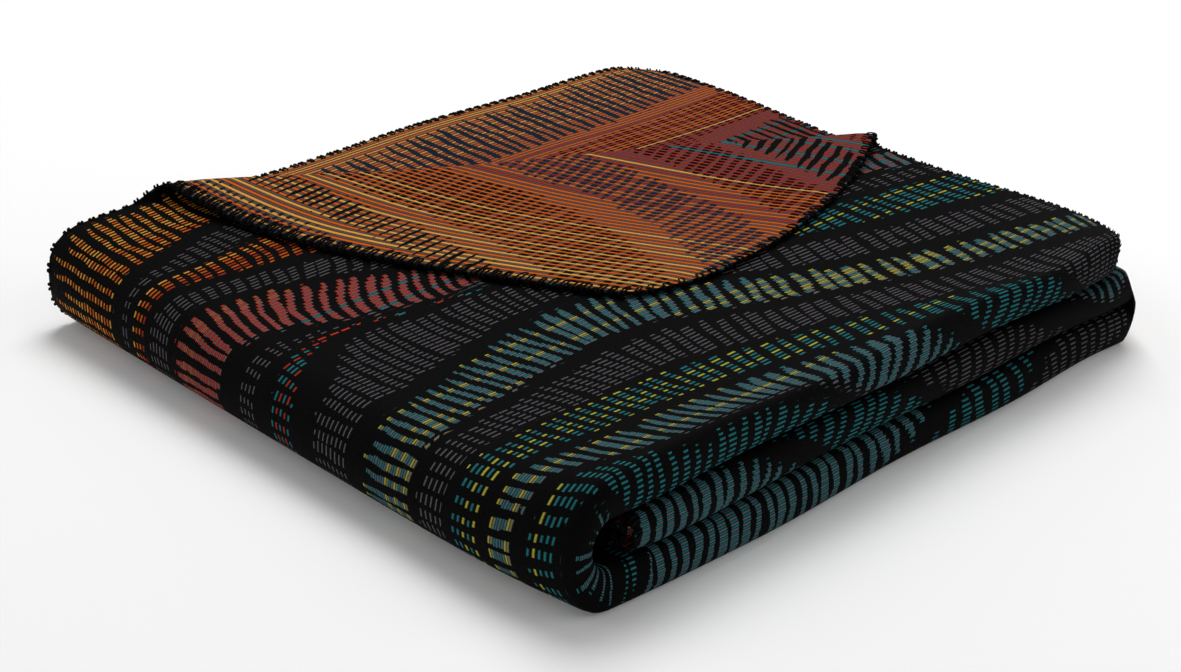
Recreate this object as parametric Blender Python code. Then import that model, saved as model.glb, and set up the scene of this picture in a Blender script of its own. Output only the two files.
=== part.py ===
"""Folded basotho blanket: one sheet of cloth folded into twelve layers, built as one closed solid.

The sheet is folded in quarters across its length, which makes a strip four layers thick. The strip
is then folded in thirds like a letter: one end is laid over the middle, and the other end is brought
round the left side and over the top. Last, the far corner of the top layer is turned back.

Places on the flat sheet are (u, v), in metres along the two ways it is folded, and w is the height
through its thickness. Metres, +Z up. +X runs to the right and +Y to the back.
"""

import bpy
import numpy as np
from mathutils import Vector
from mathutils.geometry import delaunay_2d_cdt

# Sizes of the folded stack before it settles
FOOT_X = 0.450
FOOT_Y = 0.405
THICK = 0.0026
GAP = 0.0014
STRIP = 4 * THICK + 3 * GAP
STACK = 3 * STRIP + 2 * GAP

# Where the free ends of the strip lie, from the left side and from the right side
TUCKED_END_X = 0.034
TOP_END_BACK = 0.004

# Blanket corners are rounded
CORNER_RADIUS = 0.034

# How the stack settles: loft beside its folds, as shares of its height, and how far each reaches
NEAR_LOFT = 0.43
NEAR_REACH = 0.125
BACK_LOFT = 0.24
FAR_CORNER_LOFT = 0.27
RIGHT_DROOP = 0.06
LEFT_DROOP = 0.08
LEFT_REACH = 0.100
# The far corner itself hangs a little, and the near left corner is drawn in
FAR_TIP_DROOP = 0.20
FAR_TIP_REACH = 0.100
NEAR_CORNER_TUCK = 0.006
NEAR_CORNER_REACH = 0.070
# Shares of the height at which the two creases of the near side lie
LOW_CREASE_SHARE = 0.36
HIGH_CREASE_SHARE = 0.665
# How far the right ends of the top strip and of the strips below it draw in at the near corner
TOP_TUCK = 0.069
LOW_TUCK = 0.050
# Slow unevenness: (wave length, height) of the top, of the near side and of the free edges
TOP_WAVE = (0.19, 0.0010)
NEAR_WAVE = (0.17, 0.0012)
EDGE_WAVE = (0.23, 0.0016)

# The turned-back corner: the two ends of its crease, and its bend, tighter in the middle
CREASE_LEFT = (0.047, 0.405)
CREASE_RIGHT = (0.446, 0.203)
CREASE_END_RADIUS = 0.0046
CREASE_MIDDLE_RADIUS = 0.0036
# The flap lies askew: it leans to the left, is drawn out towards the near side, and bows at both edges
FLAP_LEAN = 0.66
FLAP_STRETCH = 1.12
FLAP_BOW = 0.030
FLAP_GAP = 0.0016
FLAP_SETTLE = 0.060

# Lines that the sheet's mesh follows: how many steps each flat or bend is cut into
STEPS_ALONG = {"top": 11, "left bend": 11, "bottom": 6, "right bend": 8, "tucked": 6}
STEPS_ACROSS = {
    "first": 10,
    "outer bend": 8,
    "second": 6,
    "back bend": 6,
    "third": 6,
    "inner bend": 6,
    "fourth": 9,
}
FLAP_STEP = 0.034
CREASE_STEPS = 7


class LetterFold:
    """The long way of the sheet: three flats of the strip, joined by the left and the right bend."""

    def __init__(self):
        self.left_radius = (STACK - STRIP) / 2
        self.left_x = STACK / 2
        self.right_radius = (STRIP + GAP) / 2
        self.right_x = FOOT_X - STRIP - GAP / 2
        flats_and_bends = (
            FOOT_X - TOP_END_BACK - self.left_x,
            np.pi * self.left_radius,
            self.right_x - self.left_x,
            np.pi * self.right_radius,
            self.right_x - TUCKED_END_X,
        )
        self.ends = np.concatenate([[0.0], np.cumsum(flats_and_bends)])

    def place(self, u, height):
        """Returns x and z of points at u, at this height in the strip."""
        _, top_end, left_end, low_end, right_end, _ = self.ends
        left_turn = (np.clip(u, top_end, left_end) - top_end) / self.left_radius
        right_turn = (np.clip(u, low_end, right_end) - low_end) / self.right_radius
        turn = left_turn - right_turn
        out = height - STRIP / 2
        x = np.where(u < left_end, self.left_x, self.right_x) - np.sin(turn) * np.where(
            u < left_end, self.left_radius, -self.right_radius
        )
        z = np.where(
            u < left_end,
            STACK / 2 + self.left_radius * np.cos(turn),
            STRIP + GAP / 2 + self.right_radius * np.cos(turn),
        )
        x = x + np.clip(top_end - u, 0, None)
        x = np.where(u >= left_end, x + np.clip(u, left_end, low_end) - low_end, x)
        x = x - np.clip(u - right_end, 0, None)
        return x - out * np.sin(turn), z + out * np.cos(turn)


class QuarterFold:
    """The short way of the strip: four layers of the sheet, joined by two bends in front and one behind."""

    def __init__(self):
        self.outer_radius = (STRIP - THICK) / 2
        self.small_radius = (THICK + GAP) / 2
        self.front_y = STRIP / 2
        self.back_y = FOOT_Y - THICK - GAP / 2
        inside = self.back_y - self.front_y
        flats_and_bends = (
            FOOT_Y - self.front_y,
            np.pi * self.outer_radius,
            inside,
            np.pi * self.small_radius,
            inside,
            np.pi * self.small_radius,
            FOOT_Y - self.front_y,
        )
        self.ends = np.concatenate([[0.0], np.cumsum(flats_and_bends)])
        pitch = THICK + GAP
        self.heights = THICK / 2 + pitch * np.array([3.0, 0.0, 1.0, 2.0])

    def place(self, v, w):
        """Returns y and the height in the strip of points at v, w above the middle of the sheet."""
        ends, high = self.ends, self.heights
        layer = np.searchsorted(ends[1:-1], v, side="right")
        along = v - ends[np.clip(layer, 0, 6)]
        flat = (layer % 2 == 0).astype(float)
        radius = np.where(layer == 1, self.outer_radius, self.small_radius)
        turn = np.where(flat > 0, 0.0, along / radius)
        front = layer != 3
        middle = np.select(
            [layer == 1, layer == 3, layer == 5],
            [(high[0] + high[1]) / 2, (high[1] + high[2]) / 2, (high[2] + high[3]) / 2],
            0.0,
        )
        start_y = np.select(
            [layer == 0, layer == 2, layer == 4, layer == 6],
            [FOOT_Y - along, self.front_y + along, self.back_y - along, self.front_y + along],
            np.where(front, self.front_y, self.back_y),
        )
        start_z = np.select(
            [layer == 0, layer == 2, layer == 4, layer == 6], [high[0], high[1], high[2], high[3]], 0.0
        )
        # The sheet's upper face looks up on the first and third layer and down on the others
        up = np.select([layer == 0, layer == 2, layer == 4, layer == 6], [1.0, -1.0, 1.0, -1.0], 0.0)
        out_y = np.where(front, -np.sin(turn), np.sin(turn)) * np.where(layer == 5, -1.0, 1.0)
        out_z = np.select([layer == 1, layer == 3, layer == 5], [np.cos(turn), -np.cos(turn), np.cos(turn)], 0.0)
        bend_y = np.where(front, -1.0, 1.0) * radius * np.sin(turn)
        bend_z = middle + radius * np.where(layer == 1, 1.0, -1.0) * np.cos(turn)
        y = start_y + np.where(flat > 0, 0.0, bend_y + w * out_y)
        z = np.where(flat > 0, start_z + w * up, bend_z + w * out_z)
        return y, z


LONG_WAY = LetterFold()
SHORT_WAY = QuarterFold()
TOP_FLAT_END = LONG_WAY.ends[1]
FIRST_FLAT_END = SHORT_WAY.ends[1]


def ease(share):
    """Goes smoothly from 0 to 1 as the share does."""
    share = np.clip(share, 0.0, 1.0)
    return share * share * (3 - 2 * share)


def crease_frame():
    """Returns a point of the crease, its unit direction, its unit normal to the far corner, its length."""
    start, end = np.array(CREASE_LEFT), np.array(CREASE_RIGHT)
    length = np.linalg.norm(end - start)
    along = (end - start) / length
    return start, along, np.array((-along[1], along[0])), length


def crease_radius(share):
    """Returns the radius of the crease's bend at this share of its length."""
    from_middle = np.clip(np.abs(2 * share - 1), 0, 1) ** 3
    return CREASE_MIDDLE_RADIUS + (CREASE_END_RADIUS - CREASE_MIDDLE_RADIUS) * from_middle


def turn_back_corner(x, y, z, on_top):
    """Folds the far corner of the top layer over the crease, and lets it settle on the layer it came from."""
    start, along, normal, length = crease_frame()
    past = (x - start[0]) * normal[0] + (y - start[1]) * normal[1]
    where = (x - start[0]) * along[0] + (y - start[1]) * along[1]
    folded = on_top & (past > 0)
    middle = STACK - THICK / 2
    above = z - middle
    radius = crease_radius(where / length)
    turn = np.clip(past / radius, 0, np.pi)
    beyond = np.clip(past - np.pi * radius, 0, None)
    # The flat flap is a triangle on the crease, so its middle line runs to the corner's share
    corner = np.array((FOOT_X - TOP_END_BACK, FOOT_Y)) - start
    depth = np.clip(beyond / (corner @ normal - np.pi * CREASE_MIDDLE_RADIUS), 0, 1)
    middle_share = 0.5 + (corner @ along / length - 0.5) * depth
    across = (where / length - middle_share) / (0.5 * (1 - depth) + 0.05)
    bow = FLAP_BOW * np.sin(np.pi * depth) * np.clip(across, -1, 1)
    new_where = where - FLAP_LEAN * beyond + bow
    reach = (radius - above) * np.sin(turn) - FLAP_STRETCH * beyond
    settle = (2 * radius - THICK - FLAP_GAP) * ease(beyond / FLAP_SETTLE)
    lift = middle + radius - (radius - above) * np.cos(turn) - settle
    new_x = start[0] + along[0] * new_where + normal[0] * reach
    new_y = start[1] + along[1] * new_where + normal[1] * reach
    return (
        np.where(folded, new_x, x),
        np.where(folded, new_y, y),
        np.where(folded, lift, z),
    )


def settle_stack(x, y, z):
    """Gives the neat stack the loft, droop, creases and unevenness of real cloth."""
    share_x, share_y = np.clip(x / FOOT_X, 0, 1), np.clip(y / FOOT_Y, 0, 1)
    near = np.clip(1 - y / NEAR_REACH, 0, 1) ** 2
    left = np.clip(1 - x / LEFT_REACH, 0, 1) ** 2
    low_flat, high_flat = 1 / 3, 2 / 3
    low = low_flat + (LOW_CREASE_SHARE - low_flat) * near
    high = high_flat + (HIGH_CREASE_SHARE - high_flat) * near
    share_z = z / STACK
    level = np.where(
        share_z < low_flat,
        share_z / low_flat * low,
        np.where(
            share_z < high_flat,
            low + (share_z - low_flat) * 3 * (high - low),
            high + (share_z - high_flat) * 3 * (1 - high),
        ),
    )
    loft = 1 + NEAR_LOFT * near + BACK_LOFT * share_y**3
    loft += FAR_CORNER_LOFT * share_x**2 * share_y**3 - LEFT_DROOP * left
    loft -= RIGHT_DROOP * share_x**3
    from_tip = np.hypot(FOOT_X - x, FOOT_Y - y) / FAR_TIP_REACH
    loft -= FAR_TIP_DROOP * np.clip(1 - from_tip, 0, 1) ** 2
    wave, height = TOP_WAVE
    top_wave = height * np.sin(2 * np.pi * (x + 0.4 * y) / wave) * np.clip(level, 0, 1) ** 2
    corner = np.clip(share_x - 0.6, 0, 1) ** 2 / 0.16 * np.clip(1 - share_y / 0.3, 0, 1) ** 2
    tuck = corner * np.where(share_z > high_flat, TOP_TUCK, LOW_TUCK)
    near_left = np.clip(1 - x / NEAR_CORNER_REACH, 0, 1) ** 2 * np.clip(1 - y / NEAR_CORNER_REACH, 0, 1) ** 2
    draw_in = NEAR_CORNER_TUCK * near_left
    wave, height = NEAR_WAVE
    near_shift = height * np.sin(2 * np.pi * x / wave + 5 * share_z) * near
    wave, height = EDGE_WAVE
    back_shift = height * np.sin(2 * np.pi * x / wave + 9 * share_z) * share_y**2
    side_shift = height * np.sin(2 * np.pi * y / wave + 7 * share_z) * share_x**2
    new_x = x - tuck + side_shift + draw_in
    return new_x, y + near_shift + back_shift + draw_in, level * STACK * loft + top_wave


def place_sheet(u, v, w):
    """Returns the folded place of points of the flat sheet, as an array of x, y, z rows."""
    y, height = SHORT_WAY.place(v, w)
    x, z = LONG_WAY.place(u, height)
    on_top = (u < TOP_FLAT_END) & (v < FIRST_FLAT_END)
    x, y, z = turn_back_corner(x, y, z, on_top)
    return np.column_stack(settle_stack(x, y, z))


def cut_evenly(ends, steps):
    """Returns the places of the lines that cut each flat or bend into its number of steps."""
    cuts = [np.linspace(a, b, n + 1)[:-1] for a, b, n in zip(ends[:-1], ends[1:], steps)]
    return np.append(np.concatenate(cuts), ends[-1])


def rounded_rectangle(width, height, radius, steps=5):
    """Returns the corners of a rounded rectangle from (0, 0), anticlockwise."""
    turns = np.linspace(0, np.pi / 2, steps + 1)
    middles = (
        (width - radius, height - radius, 0.0),
        (radius, height - radius, np.pi / 2),
        (radius, radius, np.pi),
        (width - radius, radius, 3 * np.pi / 2),
    )
    points = [
        (x + radius * np.cos(start + turns), y + radius * np.sin(start + turns)) for x, y, start in middles
    ]
    return np.concatenate([np.column_stack(p) for p in points])


def clip_segment(start, end, outline):
    """Returns the part of a segment that lies in a convex anticlockwise outline, or None."""
    start, end = np.asarray(start, float), np.asarray(end, float)
    low, high = 0.0, 1.0
    for corner, following in zip(outline, np.roll(outline, -1, axis=0)):
        side = following - corner
        inward = np.array((-side[1], side[0]))
        at_start, at_end = inward @ (start - corner), inward @ (end - corner)
        change = at_end - at_start
        if abs(change) < 1e-12:
            if at_start < -1e-9:
                return None
            continue
        meets = -at_start / change
        if change > 0:
            low = max(low, meets)
        else:
            high = min(high, meets)
    if high - low < 1e-6:
        return None
    return start + low * (end - start), start + high * (end - start)


def crease_lines():
    """Returns segments of the flat sheet along the crease: close in its bend, wider on the flap and before it."""
    start, along, normal, length = crease_frame()
    bend = np.pi * CREASE_END_RADIUS
    offsets = np.concatenate(
        [
            np.arange(-FLAP_STEP, -0.5, -FLAP_STEP),
            np.linspace(0, bend, CREASE_STEPS + 1),
            bend + np.arange(FLAP_STEP / 2, 0.4, FLAP_STEP * 0.8),
        ]
    )
    lines = []
    for offset in offsets:
        middle = start + along * length / 2 + normal * offset
        ends = (middle - along, middle + along)
        lines.append([(FOOT_X - TOP_END_BACK - x, FOOT_Y - y) for x, y in ends])
    return lines


def flat_triangles():
    """Cuts the flat sheet into triangles along its fold lines. Returns points (u, v) and triangles."""
    long_cuts = cut_evenly(LONG_WAY.ends, STEPS_ALONG.values())
    short_cuts = cut_evenly(SHORT_WAY.ends, STEPS_ACROSS.values())
    width, height = LONG_WAY.ends[-1], SHORT_WAY.ends[-1]
    outline = rounded_rectangle(width, height, CORNER_RADIUS)
    quarter = np.array([(0, 0), (TOP_FLAT_END, 0), (TOP_FLAT_END, FIRST_FLAT_END), (0, FIRST_FLAT_END)])
    points, edges = [], []

    def add_line(ends, spacing=None):
        if ends is None:
            return
        count = 1 if spacing is None else max(1, round(float(np.linalg.norm(ends[1] - ends[0])) / spacing))
        first = len(points)
        points.extend(ends[0] + (ends[1] - ends[0]) * share for share in np.linspace(0, 1, count + 1))
        edges.extend((n, n + 1) for n in range(first, first + count))

    for corner, following in zip(outline, np.roll(outline, -1, axis=0)):
        add_line((corner, following))
    for u in long_cuts[1:-1]:
        from_v = 0.0 if u >= TOP_FLAT_END - 1e-9 else FIRST_FLAT_END
        add_line(clip_segment((u, from_v), (u, height), outline))
    for v in short_cuts[1:-1]:
        from_u = 0.0 if v >= FIRST_FLAT_END - 1e-9 else TOP_FLAT_END
        add_line(clip_segment((from_u, v), (width, v), outline))
    for start, end in crease_lines():
        inside = clip_segment(start, end, quarter)
        if inside is not None:
            add_line(clip_segment(*inside, outline), FLAP_STEP)
    found = delaunay_2d_cdt([Vector(p) for p in points], edges, [], 0, 1e-5, False)
    flat = np.array([tuple(p) for p in found[0]])
    return flat, np.array([tuple(f) for f in found[2]])


def rim_edges(triangles):
    """Returns the directed edges that only one triangle has."""
    edges = np.concatenate([triangles[:, [0, 1]], triangles[:, [1, 2]], triangles[:, [2, 0]]])
    _, place, count = np.unique(np.sort(edges, axis=1), axis=0, return_index=True, return_counts=True)
    return edges[place[count == 1]]


def blanket_mesh():
    """Returns the points and faces of the closed folded sheet, standing on z = 0 about the middle."""
    flat, triangles = flat_triangles()
    corners = flat[triangles]
    area = np.cross(corners[:, 1] - corners[:, 0], corners[:, 2] - corners[:, 0])
    triangles = np.where(area[:, None] > 0, triangles, triangles[:, ::-1])[np.abs(area) > 1e-9]
    count = len(flat)
    u, v = flat.T
    faces_up = place_sheet(u, v, np.full(count, THICK / 2))
    faces_down = place_sheet(u, v, np.full(count, -THICK / 2))
    points = np.concatenate([faces_up, faces_down])
    rim = rim_edges(triangles)
    sides = np.concatenate(
        [
            np.column_stack([rim[:, 1], rim[:, 0], rim[:, 0] + count]),
            np.column_stack([rim[:, 1], rim[:, 0] + count, rim[:, 1] + count]),
        ]
    )
    faces = np.concatenate([triangles, triangles[:, ::-1] + count, sides])
    volume = np.linalg.det(points[faces]).sum()
    if volume < 0:
        faces = faces[:, ::-1]
    low, high = points.min(axis=0), points.max(axis=0)
    middle = (low + high) / 2
    return points - (middle[0], middle[1], low[2]), faces


def build():
    """Makes the blanket's object with its material."""
    for obj in list(bpy.data.objects):
        bpy.data.objects.remove(obj, do_unlink=True)
    points, faces = blanket_mesh()
    mesh = bpy.data.meshes.new("blanket")
    mesh.from_pydata(points.tolist(), [], faces.tolist())
    mesh.update()
    cloth = bpy.data.materials.new("woven_wool")
    cloth.use_nodes = True
    shader = cloth.node_tree.nodes["Principled BSDF"]
    shader.inputs["Base Color"].default_value = (0.012, 0.012, 0.014, 1.0)
    shader.inputs["Roughness"].default_value = 0.9
    mesh.materials.append(cloth)
    blanket = bpy.data.objects.new("blanket", mesh)
    bpy.context.scene.collection.objects.link(blanket)


build()
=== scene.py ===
"""Folded basotho blanket, dressed: the woven sheet on its folds, its whip-stitched edge, and a plain studio.

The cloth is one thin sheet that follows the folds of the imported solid: quarters across its short way,
thirds along its long way like a letter, and the far corner of the top layer turned back. Places on the
flat sheet are (u, v) in metres along the long and the short way, and w is the height through the cloth.
"""

import logging
from collections.abc import Callable, Sequence
from dataclasses import dataclass
from enum import Enum
from typing import Any

import bpy
import numpy as np
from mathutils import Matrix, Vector
from mathutils.geometry import delaunay_2d_cdt


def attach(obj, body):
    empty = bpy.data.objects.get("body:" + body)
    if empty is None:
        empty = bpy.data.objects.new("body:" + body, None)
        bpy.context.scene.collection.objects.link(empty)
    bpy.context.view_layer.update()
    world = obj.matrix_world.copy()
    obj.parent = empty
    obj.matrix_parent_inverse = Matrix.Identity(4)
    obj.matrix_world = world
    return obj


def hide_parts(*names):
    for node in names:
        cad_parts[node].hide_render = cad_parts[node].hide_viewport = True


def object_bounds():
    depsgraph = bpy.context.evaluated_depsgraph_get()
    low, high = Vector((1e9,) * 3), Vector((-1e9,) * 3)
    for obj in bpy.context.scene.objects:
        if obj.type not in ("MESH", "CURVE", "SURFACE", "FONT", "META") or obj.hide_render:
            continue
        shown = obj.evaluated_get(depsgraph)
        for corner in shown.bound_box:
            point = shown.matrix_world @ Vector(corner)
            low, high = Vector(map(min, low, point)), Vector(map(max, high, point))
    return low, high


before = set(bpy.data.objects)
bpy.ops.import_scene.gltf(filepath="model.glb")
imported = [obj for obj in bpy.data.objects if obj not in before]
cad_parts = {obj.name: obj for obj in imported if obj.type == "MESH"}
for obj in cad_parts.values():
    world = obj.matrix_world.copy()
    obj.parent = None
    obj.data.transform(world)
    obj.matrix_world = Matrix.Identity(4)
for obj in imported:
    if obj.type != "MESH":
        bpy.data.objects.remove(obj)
CAD_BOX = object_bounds()

LOG = logging.getLogger("blanket")
Colour = tuple[float, float, float]
Array = np.ndarray
NO_LIGHT: Colour = (0.0, 0.0, 0.0)
WHITE = (1.0, 1.0, 1.0, 1.0)
GOLDEN = 0.618034


def ease(share: Array) -> Array:
    """Goes smoothly from 0 to 1 as the share does: 3 s^2 - 2 s^3."""
    share = np.clip(share, 0.0, 1.0)
    return share * share * (3 - 2 * share)


def fall(place: Array, reach: float) -> Array:
    """Falls from 1 at 0 to 0 at the reach: (1 - x / r)^2."""
    return np.clip(1 - place / reach, 0, 1) ** 2


# The fold of the sheet


@dataclass(frozen=True)
class FoldSizes:
    """Sizes of the folded stack before it settles, in metres, and the power that fills its outer bend."""

    width: float = 0.450
    depth: float = 0.405
    thick: float = 0.0026
    gap: float = 0.0014
    tucked_end: float = 0.034
    top_end_back: float = 0.004
    corner_radius: float = 0.034
    outer_fullness: float = 0.72

    @property
    def end_x(self) -> float:
        """Place of the top layer's end."""
        return self.width - self.top_end_back

    @property
    def strip(self) -> float:
        """Height of the strip of four layers."""
        return 4 * self.thick + 3 * self.gap

    @property
    def height(self) -> float:
        """Height of the whole stack, three strips."""
        return 3 * self.strip + 2 * self.gap


class LetterFold:
    """The long way of the sheet: three flats of the strip, joined by the left and the right bend."""

    def __init__(self, sizes: FoldSizes) -> None:
        """Works out the bends and where each flat ends.

        Args:
            sizes: the stack's sizes.
        """
        self.sizes = sizes
        self.left_radius = (sizes.height - sizes.strip) / 2
        self.left_x = sizes.height / 2
        self.right_radius = (sizes.strip + sizes.gap) / 2
        self.right_x = sizes.width - sizes.strip - sizes.gap / 2
        flats_and_bends = (
            sizes.end_x - self.left_x,
            np.pi * self.left_radius,
            self.right_x - self.left_x,
            np.pi * self.right_radius,
            self.right_x - sizes.tucked_end,
        )
        self.ends = np.concatenate([[0.0], np.cumsum(flats_and_bends)])

    def place(self, u: Array, height: Array) -> tuple[Array, Array]:
        """Lays points along three flats and round two half circles.

        Args:
            u: place along the sheet's long way.
            height: height in the strip.

        Returns:
            x and z of the points.
        """
        _, top_end, left_end, low_end, right_end, _ = self.ends
        left_turn = (np.clip(u, top_end, left_end) - top_end) / self.left_radius
        right_turn = (np.clip(u, low_end, right_end) - low_end) / self.right_radius
        turn = left_turn - right_turn
        out = height - self.sizes.strip / 2
        before = u < left_end
        x = np.where(before, self.left_x, self.right_x)
        x = x - np.sin(turn) * np.where(before, self.left_radius, -self.right_radius)
        left_z = self.sizes.height / 2 + self.left_radius * np.cos(turn)
        right_z = self.sizes.strip + self.sizes.gap / 2 + self.right_radius * np.cos(turn)
        z = np.where(before, left_z, right_z)
        x = x + np.clip(top_end - u, 0, None)
        x = np.where(before, x, x + np.clip(u, left_end, low_end) - low_end)
        x = x - np.clip(u - right_end, 0, None)
        return x - out * np.sin(turn), z + out * np.cos(turn)


class QuarterFold:
    """The short way of the strip: four layers, joined by two bends in front and one behind."""

    def __init__(self, sizes: FoldSizes) -> None:
        """Works out the bends, the layers' heights and where each flat ends.

        Args:
            sizes: the stack's sizes.
        """
        self.sizes = sizes
        self.outer_radius = (sizes.strip - sizes.thick) / 2
        self.small_radius = (sizes.thick + sizes.gap) / 2
        self.front_y = sizes.strip / 2
        self.back_y = sizes.depth - sizes.thick - sizes.gap / 2
        inside = self.back_y - self.front_y
        flats_and_bends = (
            sizes.depth - self.front_y,
            np.pi * self.outer_radius,
            inside,
            np.pi * self.small_radius,
            inside,
            np.pi * self.small_radius,
            sizes.depth - self.front_y,
        )
        self.ends = np.concatenate([[0.0], np.cumsum(flats_and_bends)])
        self.heights = sizes.thick / 2 + (sizes.thick + sizes.gap) * np.array([3.0, 0.0, 1.0, 2.0])

    def place(self, v: Array, w: Array) -> tuple[Array, Array]:
        """Lays points back and forth along four flats and round three half circles.

        Args:
            v: place along the sheet's short way.
            w: height above the middle of the sheet.

        Returns:
            y and the height in the strip.
        """
        ends, high = self.ends, self.heights
        layer = np.searchsorted(ends[1:-1], v, side="right")
        along = v - ends[layer]
        flat = layer % 2 == 0
        front = layer != 3
        radius = np.where(layer == 1, self.outer_radius, self.small_radius)
        turn = np.where(flat, 0.0, along / radius)
        flats = [layer == 0, layer == 2, layer == 4, layer == 6]
        bends = [layer == 1, layer == 3, layer == 5]
        from_front, from_back = self.front_y + along, self.back_y - along
        start_y = np.select(
            flats,
            [self.sizes.depth - along, from_front, from_back, from_front],
            np.where(front, self.front_y, self.back_y),
        )
        start_z = np.select(flats, list(high), 0.0)
        middle = np.select(bends, list((high[:-1] + high[1:]) / 2), 0.0)
        # The upper face looks up on the first and third layer and down on the others
        up = np.select(flats, [1.0, -1.0, 1.0, -1.0], 0.0)
        out_y = np.where(front, -np.sin(turn), np.sin(turn)) * np.where(layer == 5, -1.0, 1.0)
        out_z = np.select(bends, [np.cos(turn), -np.cos(turn), np.cos(turn)], 0.0)
        # The outer bend is fuller than a half circle, as the strips press on each other
        fuller = np.clip(np.sin(turn), 0, None) ** self.sizes.outer_fullness
        swell = np.where(layer == 1, fuller, np.sin(turn))
        bend_y = np.where(front, -1.0, 1.0) * radius * swell + w * out_y
        bend_z = middle + radius * np.where(layer == 1, 1.0, -1.0) * np.cos(turn) + w * out_z
        return start_y + np.where(flat, 0.0, bend_y), np.where(flat, start_z + w * up, bend_z)


@dataclass(frozen=True)
class TurnedCorner:
    """The far corner of the top layer, turned back over a slanting crease."""

    left: tuple[float, float] = (0.047, 0.405)
    right: tuple[float, float] = (0.446, 0.203)
    end_radius: float = 0.0046
    middle_radius: float = 0.0036
    lean: float = 0.66
    stretch: float = 1.12
    bow: float = 0.030
    gap: float = 0.0016
    settle: float = 0.060
    tip_softness: float = 0.05

    def axes(self) -> tuple[Array, Array, Array, float]:
        """Works out the crease.

        Returns:
            Its start, its unit direction, its unit normal and its length.
        """
        start, end = np.array(self.left), np.array(self.right)
        length = float(np.linalg.norm(end - start))
        along = (end - start) / length
        return start, along, np.array((-along[1], along[0])), length

    def radius(self, share: Array) -> Array:
        """Returns the bend's radius at this share of the crease, tighter in its middle."""
        from_middle = np.clip(np.abs(2 * share - 1), 0, 1) ** 3
        return self.middle_radius + (self.end_radius - self.middle_radius) * from_middle

    def past(self, x: Array, y: Array) -> Array:
        """Returns how far points lie past the crease towards the far corner."""
        start, _, normal, _ = self.axes()
        return (x - start[0]) * normal[0] + (y - start[1]) * normal[1]

    def turn_back(
        self, sizes: FoldSizes, x: Array, y: Array, z: Array, on_top: Array
    ) -> tuple[Array, Array, Array]:
        """Rolls points past the crease over it, then lays them askew on the layer that they came from.

        Args:
            sizes: the stack's sizes.
            x: places before the turn.
            y: places before the turn.
            z: heights before the turn.
            on_top: which points belong to the top layer.

        Returns:
            x, y and z after the turn.
        """
        start, along, normal, length = self.axes()
        past = self.past(x, y)
        where = (x - start[0]) * along[0] + (y - start[1]) * along[1]
        folded = on_top & (past > 0)
        middle = sizes.height - sizes.thick / 2
        above = z - middle
        radius = self.radius(where / length)
        turn = np.clip(past / radius, 0, np.pi)
        beyond = np.clip(past - np.pi * radius, 0, None)
        corner = np.array((sizes.end_x, sizes.depth)) - start
        depth = np.clip(beyond / (corner @ normal - np.pi * self.middle_radius), 0, 1)
        middle_share = 0.5 + (corner @ along / length - 0.5) * depth
        across = (where / length - middle_share) / (0.5 * (1 - depth) + self.tip_softness)
        bow = self.bow * np.sin(np.pi * depth) * np.clip(across, -1, 1)
        new_where = where - self.lean * beyond + bow
        reach = (radius - above) * np.sin(turn) - self.stretch * beyond
        settle = (2 * radius - sizes.thick - self.gap) * ease(beyond / self.settle)
        lift = middle + radius - (radius - above) * np.cos(turn) - settle
        new_x = start[0] + along[0] * new_where + normal[0] * reach
        new_y = start[1] + along[1] * new_where + normal[1] * reach
        return np.where(folded, new_x, x), np.where(folded, new_y, y), np.where(folded, lift, z)


@dataclass(frozen=True)
class Wave:
    """One slow wave of the settled cloth: its length, its height and how far it turns up the stack."""

    length: float
    height: float
    turn: float = 0.0

    def at(self, place: Array, share_z: Array) -> Array:
        """Returns its push at these places: h sin (2 pi x / l + t z)."""
        return self.height * np.sin(2 * np.pi * place / self.length + self.turn * share_z)


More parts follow.
